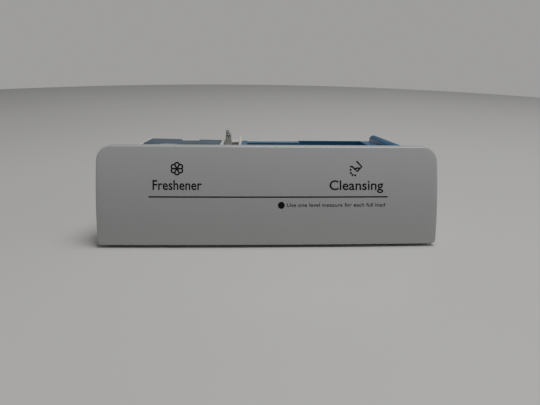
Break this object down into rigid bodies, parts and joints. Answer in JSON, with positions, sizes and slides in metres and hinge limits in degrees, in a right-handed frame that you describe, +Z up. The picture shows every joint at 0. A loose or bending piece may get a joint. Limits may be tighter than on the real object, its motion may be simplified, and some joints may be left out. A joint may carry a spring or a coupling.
{
  "type": "washing machine detergent drawer",
  "caption": "Detergent dispenser drawer of a front load washer: leaning front panel, tub with lift-out softener cover and detergent insert, and a sprung release lever.",
  "frame": {"origin": "centre of the base, on the surface that the drawer stands on", "axes": "+X to the right seen from the front, +Y into the machine, +Z up"},
  "size_m": [0.27, 0.14, 0.0767],
  "materials": {
    "tub_plastic": "satin moulded",
    "panel_plastic": "smooth satin gloss",
    "grip_plastic": "satin moulded",
    "screw_steel": "zinc plated",
    "bumper_rubber": "matt",
    "strip_plastic": "waxy",
    "lever_plastic": "satin moulded",
    "spring_steel": "drawn wire",
    "cover_plastic": "satin, slate blue",
    "insert_plastic": "glossy, dark blue"
  },
  "bodies": {
    "drawer": {"drawer_tub": "tub_plastic", "front_panel": "panel_plastic", "handle_grip": "grip_plastic", "panel_screws": "screw_steel", "handle_screws": "screw_steel", "closing_bumpers": "bumper_rubber", "left_runner_strip": "strip_plastic", "right_runner_strip": "strip_plastic", "lever_pin": "screw_steel", "lever_spring": "spring_steel"},
    "lever": {"release_lever": "lever_plastic"},
    "cover": {"softener_cover": "cover_plastic", "softener_siphon_cap": "cover_plastic"},
    "insert": {"detergent_insert": "insert_plastic"},
    "insert_cap": {"insert_siphon_cap": "insert_plastic"}
  },
  "joints": [
    {"name": "lever_press", "type": "hinge", "parent": "drawer", "child": "lever", "pos_m": [-0.0337, 0.018, 0.05], "axis": [-1, 0, 0], "range_deg": [0, 8], "stiffness_Nm_per_rad": 0.8, "springref_deg": -3.44, "deforming": ["lever_spring"]},
    {"name": "cover_lift", "type": "slide", "parent": "drawer", "child": "cover", "axis": [0, 0, 1], "range_m": [0, 0.06]},
    {"name": "insert_lift", "type": "slide", "parent": "drawer", "child": "insert", "axis": [0, 0, 1], "range_m": [0, 0.07]},
    {"name": "insert_cap_pull", "type": "slide", "parent": "insert", "child": "insert_cap", "axis": [0, 0, 1], "range_m": [0, 0.035]}
  ]
}
